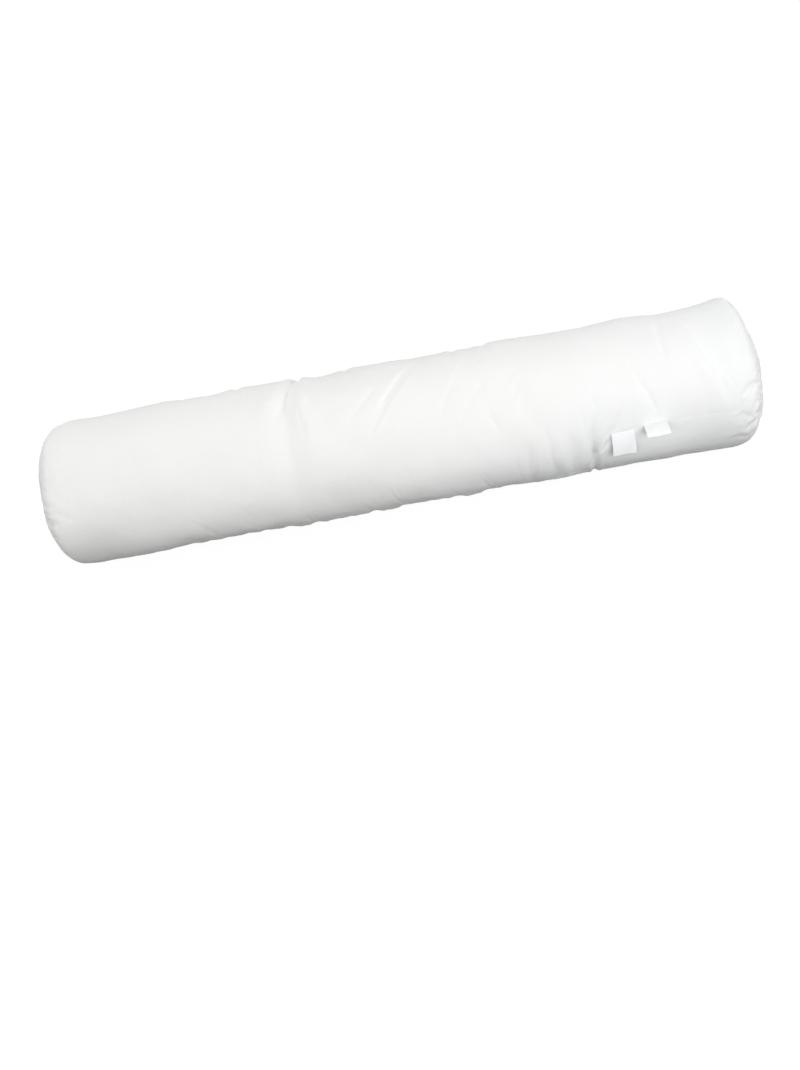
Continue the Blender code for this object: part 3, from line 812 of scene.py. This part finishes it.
# Cotton percale: plain weave of fine yarn, washed and bleached. It is matt, a little fuzzy at
# glancing angles, and streaked by yarns that are slightly thicker than their neighbours.
COTTON_WARM = "#E5E5E3"
COTTON_COOL = "#E4E5E5"
# Painted shade: along every line of stitches the cotton is darkened towards this grey, for the
# shade in the channel the thread draws in
SEAM_PAINTED_SHADE = "#D2D2CF"
PAINTED_SHADE_SHARE = 0.35  # how far the cotton goes to that shade at a line of stitches
BAND = math.pi / 10.0  # how wide a band of the wave texture is at a scale of 1
YARN_MM = 1.3  # real yarn is 0.25 mm thick, too fine to show: it is drawn five times as coarse
SLUB_MM = (2.2, 45.0)  # a thick stretch of yarn, across and along
SLUB_RELIEF = 0.35  # how far it stands up, beside the weave itself
TONE_MM = 140.0  # patches where the cloth reads warmer or cooler
NAP_MM = 9.0
COOL_ALONG = (-0.05, 0.40)  # the cotton goes from warm to cool along this much of the cushion

percale, tree, output = new_material("bleached_cotton_percale")
threads = add(tree, "ShaderNodeUVMap", {"uv_map": "weave"})
place = add(tree, "ShaderNodeTexCoord").outputs["Object"]
yarns = {"Scale": BAND * 1000.0 / YARN_MM, "Distortion": 1.2, "Detail": 1.0}
warp, weft = (
    add(tree, "ShaderNodeTexWave", {"bands_direction": way, **yarns}, Vector=threads)
    for way in ("X", "Y")
)
crossed = add(
    tree,
    "ShaderNodeMath",
    {"operation": "MULTIPLY"},
    _0=warp.outputs["Fac"],
    _1=weft.outputs["Fac"],
)
slubs = []
fine, coarse = (1000.0 / size for size in SLUB_MM)
for stretch in ((fine, coarse, 1.0), (coarse, fine, 1.0)):
    run = add(tree, "ShaderNodeMapping", {"Scale": stretch}, Vector=threads)
    noisy = {"Scale": 1.0, "Detail": 2.0}
    slubs.append(add(tree, "ShaderNodeTexNoise", noisy, Vector=run))
slub = add(tree, "ShaderNodeMath", {"operation": "ADD"}, _0=slubs[0], _1=slubs[1])
nap = add(
    tree,
    "ShaderNodeTexNoise",
    {"Scale": 1000.0 / NAP_MM, "Detail": 4.0, "Roughness": 0.6},
    Vector=place,
)
tone = add(tree, "ShaderNodeTexNoise", {"Scale": 1000.0 / TONE_MM, "Detail": 1.0}, Vector=place)
apart = add(tree, "ShaderNodeSeparateXYZ", None, Vector=place)
along = add(
    tree,
    "ShaderNodeMapRange",
    {"From Min": COOL_ALONG[0], "From Max": COOL_ALONG[1]},
    Value=apart.outputs["X"],
)
patch = add(
    tree,
    "ShaderNodeMapRange",
    {"From Min": 0.35, "From Max": 0.65, "To Min": -0.35, "To Max": 0.35},
    Value=tone,
)
cool = add(tree, "ShaderNodeMath", {"operation": "ADD", "use_clamp": True}, _0=along, _1=patch)
tinted = add(
    tree,
    "ShaderNodeMix",
    {"data_type": "RGBA", 6: linear(COTTON_WARM), 7: linear(COTTON_COOL)},
    _0=cool,
)
streak = add(
    tree,
    "ShaderNodeMapRange",
    {"From Min": 0.75, "From Max": 1.25, "To Min": 0.992, "To Max": 1.008},
    Value=slub,
)
streaked = add(
    tree, "ShaderNodeVectorMath", {"operation": "SCALE"}, _0=tinted.outputs[2], Scale=streak
)
# The painted shade of the seams, read from the mesh's channel attribute
sewn = add(tree, "ShaderNodeAttribute", {"attribute_name": "channel"})
shaded = add(
    tree,
    "ShaderNodeMix",
    {"data_type": "RGBA", 7: linear(SEAM_PAINTED_SHADE)},
    _0=sewn.outputs["Fac"],
    _6=streaked,
)
heights = add(
    tree, "ShaderNodeMath", {"operation": "MULTIPLY_ADD", 1: SLUB_RELIEF}, _0=slub, _2=crossed
)
weave_bump = add(tree, "ShaderNodeBump", {"Strength": 0.10, "Distance": 0.0004}, Height=heights)
nap_bump = add(
    tree, "ShaderNodeBump", {"Strength": 0.25, "Distance": 0.0012}, Height=nap, Normal=weave_bump
)
shader = add(
    tree,
    "ShaderNodeBsdfPrincipled",
    {
        "Roughness": 0.86,
        "Specular IOR Level": 0.25,
        "Sheen Weight": 0.18,
        "Sheen Roughness": 0.45,
    },
    Base_Color=shaded.outputs[2],
    Normal=nap_bump,
)
tree.links.new(shader.outputs[0], output.inputs["Surface"])

# Close to a line of stitches the cloth is pulled into the channel. There the cotton's colour is
# darkened as painted shade, more where the channel is deeper
painted_seam_shade = np.zeros(rings.shape[:2])
barrel_part = slice(panel_rows, panel_rows + len(xs))
painted_seam_shade[barrel_part] = np.maximum(
    depth / depth.max() * np.exp(-((off_long / CHANNEL) ** 2)),
    np.exp(-(((HALF_LENGTH - np.abs(cloth.x)) / CHANNEL) ** 2)),
)
painted_seam_shade *= PAINTED_SHADE_SHARE
shade = cushion_mesh.attributes.new("channel", "FLOAT", "POINT")
shades = np.concatenate([painted_seam_shade.ravel(), [0.0, 0.0]])
shade.data.foreach_set("value", shades.astype(np.float32))
cushion_mesh.materials.append(percale)
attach(cushion, "root")
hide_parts("bolster")


# ------------------------------------------------------------
# The stitches. White spun polyester thread holds the long seam and both end seams. Where the
# filling pulls a seam open, its lockstitches show as short beads at the bottom of the channel.
# ------------------------------------------------------------
STITCH_PITCH = 0.0030
STITCH_LENGTH = 0.0023
STITCH_TILT = 0.12  # how unevenly the stitches lie, as a slope
THREAD = 0.00042
THREAD_WHITE = "#EDEDEA"
THREAD_MM = 0.4  # the thread's own uneven twist
SUNK = 0.00028  # the thread lies this far into the cloth
FLOOR_CLEAR = 0.003  # and none is made lower than this, where the cushion rests
SEWN_SHORT = 4  # rings that the long seam's stitches stop short of each end seam


def stitch_tree():
    """Geometry Nodes that lay one bead of thread at each pitch along a curve."""
    made = bpy.data.node_groups.new("stitch_run", "GeometryNodeTree")
    made.interface.new_socket("Seam", in_out="INPUT", socket_type="NodeSocketGeometry")
    for name in ("Pitch", "Stitch", "Thread"):
        made.interface.new_socket(name, in_out="INPUT", socket_type="NodeSocketFloat")
    made.interface.new_socket("Material", in_out="INPUT", socket_type="NodeSocketMaterial")
    made.interface.new_socket("Stitches", in_out="OUTPUT", socket_type="NodeSocketGeometry")
    given = made.nodes.new("NodeGroupInput").outputs
    even = add(
        made,
        "GeometryNodeResampleCurve",
        {"mode": "LENGTH"},
        Curve=given["Seam"],
        Length=given["Pitch"],
    )
    bead = add(made, "GeometryNodeMeshUVSphere", {"Segments": 6, "Rings": 4, "Radius": 0.5})
    thick, length = given["Thread"], given["Stitch"]
    size = add(made, "ShaderNodeCombineXYZ", None, X=thick, Y=thick, Z=length)
    run = add(made, "GeometryNodeInputTangent")
    tilt = add(
        made,
        "FunctionNodeRandomValue",
        {"data_type": "FLOAT_VECTOR", 0: (-STITCH_TILT,) * 3, 1: (STITCH_TILT,) * 3, "Seed": 4},
    )
    swung = add(made, "ShaderNodeVectorMath", {"operation": "ADD"}, _0=run, _1=tilt)
    turned = add(made, "FunctionNodeAlignRotationToVector", {"axis": "Z"}, Vector=swung)
    placed = add(
        made,
        "GeometryNodeInstanceOnPoints",
        None,
        Points=even,
        Instance=bead,
        Rotation=turned,
        Scale=size,
    )
    real = add(made, "GeometryNodeRealizeInstances", None, Geometry=placed)
    coated = add(made, "GeometryNodeSetMaterial", None, Geometry=real, Material=given["Material"])
    finish = made.nodes.new("NodeGroupOutput")
    made.links.new(coated.outputs[0], finish.inputs["Stitches"])
    return made


# Spun polyester thread: a soft white with a dull gloss, and a fine uneven twist
polyester, tree, output = new_material("spun_polyester_thread")
place = add(tree, "ShaderNodeTexCoord").outputs["Object"]
twist = add(tree, "ShaderNodeTexNoise", {"Scale": 1000.0 / THREAD_MM, "Detail": 1.0}, Vector=place)
ply = add(tree, "ShaderNodeBump", {"Strength": 0.3, "Distance": 0.0001}, Height=twist)
shader = add(
    tree,
    "ShaderNodeBsdfPrincipled",
    {"Base Color": linear(THREAD_WHITE), "Roughness": 0.5, "Sheen Weight": 0.1},
    Normal=ply,
)
tree.links.new(shader.outputs[0], output.inputs["Surface"])

stitching = stitch_tree()
middle_column = int(np.argmin(np.abs(turns)))
runs = (
    (rings[barrel_part][SEWN_SHORT:-SEWN_SHORT, middle_column], False),
    (rings[panel_rows], True),
    (rings[last_ring], True),
)
curve = bpy.data.curves.new("stitch_lines", "CURVE")
curve.dimensions = "3D"
for points, closed in runs:
    line = points + outward(points) * (THREAD / 2 - SUNK)
    line = line[line[:, 2] > FLOOR_CLEAR]
    spline = curve.splines.new("POLY")
    spline.points.add(len(line) - 1)
    places = np.concatenate([line, np.ones((len(line), 1))], axis=1)
    spline.points.foreach_set("co", places.ravel())
    spline.use_cyclic_u = closed and len(line) == len(points)
seam_line = bpy.data.objects.new("stitch_lines", curve)
scene.collection.objects.link(seam_line)
laid = seam_line.modifiers.new("stitches", "NODES")
laid.node_group = stitching
sockets = stitching.interface.items_tree
inputs = {item.name: item.identifier for item in sockets if item.in_out == "INPUT"}
laid[inputs["Pitch"]] = STITCH_PITCH
laid[inputs["Stitch"]] = STITCH_LENGTH
laid[inputs["Thread"]] = THREAD
laid[inputs["Material"]] = polyester
bpy.context.view_layer.update()
graph = bpy.context.evaluated_depsgraph_get()
stitch_mesh = bpy.data.meshes.new_from_object(seam_line.evaluated_get(graph))
stitch_mesh.name = "seam_stitches"
bpy.data.objects.remove(seam_line)
stitches = bpy.data.objects.new("seam_stitches", stitch_mesh)
scene.collection.objects.link(stitches)
stitch_mesh.shade_smooth()
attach(stitches, "root")


# ------------------------------------------------------------
# The two labels. Each is a length of white woven satin tape, caught in the long seam. The
# longer one hangs down flat, and the shorter one is folded in half and stands out.
# ------------------------------------------------------------
TAPE_WIDTH = 0.031
TAPE_THICKNESS = 0.0004
TAPE_STEPS = 24
TAPE_CUP = 0.0010  # how far a free end curls across its width
TAPE_LEVEL = 0.4  # the share of that which the tape's middle lies back
TAPE_WAVE = 0.0003  # and how far it waves,
ACROSS, ALONG, APART = 9.0, 5.0, 40.0  # by so many radians across it, along it and from x to x
FOLD_RADIUS = 0.0008
FOLD_STEPS = (30, 60, 90, 120, 150)  # degrees round the fold
LABEL_CLEAR = 0.00035  # between a label and the cover,
ROOTED = 3  # but for this many steps of the tape next to the seam
NUDGE = 0.00002  # each try at clearing the cover goes this much further than it has to
TAPE_WHITE = "#E5E7E8"
# whiter at the selvedges, and as a painted highlight at the tape's free end and fold
SELVEDGE_AND_HIGHLIGHT_WHITE = "#F3F4F4"
SATIN_MM = 0.9  # real floats are 0.2 mm apart, too fine to show, so they are drawn coarser
STREAKS = (30.0, 300.0, 1.0)  # of gloss: so many to a metre, across the tape and along it

# Woven satin tape: long smooth floats of filament yarn give a cool white with a soft gloss
satin, tree, output = new_material("woven_satin_tape")
threads = add(tree, "ShaderNodeUVMap", {"uv_map": "weave"})
floats = add(
    tree,
    "ShaderNodeTexWave",
    {"bands_direction": "Y", "Scale": BAND * 1000.0 / SATIN_MM, "Distortion": 0.8, "Detail": 1.0},
    Vector=threads,
)
streaks = add(tree, "ShaderNodeMapping", {"Scale": STREAKS}, Vector=threads)
uneven = add(tree, "ShaderNodeTexNoise", {"Scale": 1.0, "Detail": 2.0}, Vector=streaks)
gloss = add(tree, "ShaderNodeMapRange", {"To Min": 0.32, "To Max": 0.5}, Value=uneven)
ribs = add(
    tree, "ShaderNodeBump", {"Strength": 0.15, "Distance": 0.0002}, Height=floats.outputs["Fac"]
)
# Selvedges, and the painted highlight at the tape's end and fold, are mixed in by this attribute
rim = add(tree, "ShaderNodeAttribute", {"attribute_name": "selvedge_and_highlight"})
edged = add(
    tree,
    "ShaderNodeMix",
    {"data_type": "RGBA", 6: linear(TAPE_WHITE), 7: linear(SELVEDGE_AND_HIGHLIGHT_WHITE)},
    _0=rim.outputs["Fac"],
)
shader = add(
    tree,
    "ShaderNodeBsdfPrincipled",
    {"Sheen Weight": 0.1, "Specular IOR Level": 0.35},
    Base_Color=edged.outputs[2],
    Roughness=gloss,
    Normal=ribs,
)
tree.links.new(shader.outputs[0], output.inputs["Surface"])

# A label leaves the seam at start and ends at finish, in degrees out from straight down
Label = namedtuple("Label", "name node x length start finish folded")
LABELS = (
    Label("care_label", "label_flat", 0.2845, 0.034, 34, 12, False),
    Label("folded_label", "label_tab", 0.3275, 0.0185, 88, 68, True),
)
skin_tree = BVHTree.FromObject(cushion, bpy.context.evaluated_depsgraph_get())


def clearance(point):
    """How far a point lies outside the cushion, negative inside it."""
    nearest, normal, _, _ = skin_tree.find_nearest(point)
    gap = point - nearest
    return gap.length if gap.dot(normal) > 0 else -gap.length


def tape(row):
    """The label's tape as a grid of points: along it from the seam, and across it."""
    angle = float(seam_angle(np.array(row.x)))
    out = Vector(spoke(angle))
    centre = Vector((row.x, 0.0, AXIS_HEIGHT))
    place = skin_tree.ray_cast(centre + out * 2.0 * RADIUS, -out)[0]
    line = []
    for i in range(TAPE_STEPS + 1):
        down = i / TAPE_STEPS
        turn = math.radians(row.start + (row.finish - row.start) * down)
        line.append((place.copy(), Vector(spoke(turn)), down))
        place = place + row.length / TAPE_STEPS * Vector((0.0, -math.sin(turn), -math.cos(turn)))
    if row.folded:
        # Round the fold, and back underneath to the seam
        tip, up, _ = line[-1]
        ahead = (tip - line[-2][0]).normalized()
        axis = tip - up * FOLD_RADIUS
        for step in FOLD_STEPS:
            a = math.radians(step)
            way = up * math.cos(a) + ahead * math.sin(a)
            line.append((axis + way * FOLD_RADIUS, way, 1.0))
        for at, normal, down in reversed(line[: TAPE_STEPS + 1]):
            line.append((at - normal * 2.0 * FOLD_RADIUS, -normal, down))
    points = []
    for at, normal, down in line:
        upward = normal if normal.dot(line[0][1]) > 0 or not row.folded else -normal
        for j in range(TAPE_STEPS + 1):
            across = j / TAPE_STEPS - 0.5
            cup = TAPE_CUP * down * (4.0 * across**2 - TAPE_LEVEL)
            cup += TAPE_WAVE * down * math.sin(ACROSS * across + ALONG * down + APART * row.x)
            points.append(at + Vector((across * TAPE_WIDTH, 0.0, 0.0)) + upward * cup)
    wanted = LABEL_CLEAR + TAPE_THICKNESS / 2
    free = points[ROOTED * (TAPE_STEPS + 1) : (len(line) - ROOTED) * (TAPE_STEPS + 1)]
    nearest = min(clearance(point) for point in free)
    while nearest < wanted:
        slide = out * (wanted - nearest + NUDGE)
        points = [point + slide for point in points]
        free = [point + slide for point in free]
        nearest = min(clearance(point) for point in free)
    return points, len(line)


for row in LABELS:
    points, rows_along = tape(row)
    across = TAPE_STEPS + 1
    faces = [
        (i * across + j, (i + 1) * across + j, (i + 1) * across + j + 1, i * across + j + 1)
        for i in range(rows_along - 1)
        for j in range(TAPE_STEPS)
    ]
    mesh = bpy.data.meshes.new(row.name)
    mesh.from_pydata([tuple(point) for point in points], [], faces)
    mesh.materials.append(satin)
    length = row.length * (2.0 if row.folded else 1.0)
    uv = mesh.uv_layers.new(name="weave")
    for loop, corner in zip(mesh.loops, uv.data):
        i, j = divmod(loop.vertex_index, across)
        corner.uv = (j / TAPE_STEPS * TAPE_WIDTH, i / (rows_along - 1) * length)
    # The selvedges are woven thicker, so they look whiter. The tape is drawn as white at its free
    # end and round its fold too, as a painted highlight for the light those edges catch
    selvedge_and_highlight = mesh.attributes.new("selvedge_and_highlight", "FLOAT", "POINT")
    for i in range(rows_along):
        for j in range(across):
            at_end = abs(i - TAPE_STEPS) <= (3 if row.folded else 0)
            selvedge_and_highlight.data[i * across + j].value = float(at_end or j in (0, across - 1))
    label = bpy.data.objects.new(row.name, mesh)
    scene.collection.objects.link(label)
    thick = label.modifiers.new("thickness", "SOLIDIFY")
    thick.thickness = TAPE_THICKNESS
    thick.offset = 0.0
    mesh.shade_smooth()
    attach(label, "root")
    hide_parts(row.node)

visual_low, visual_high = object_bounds()
sizes = {"cad": [list(cad_low), list(cad_high)], "visual": [list(visual_low), list(visual_high)]}
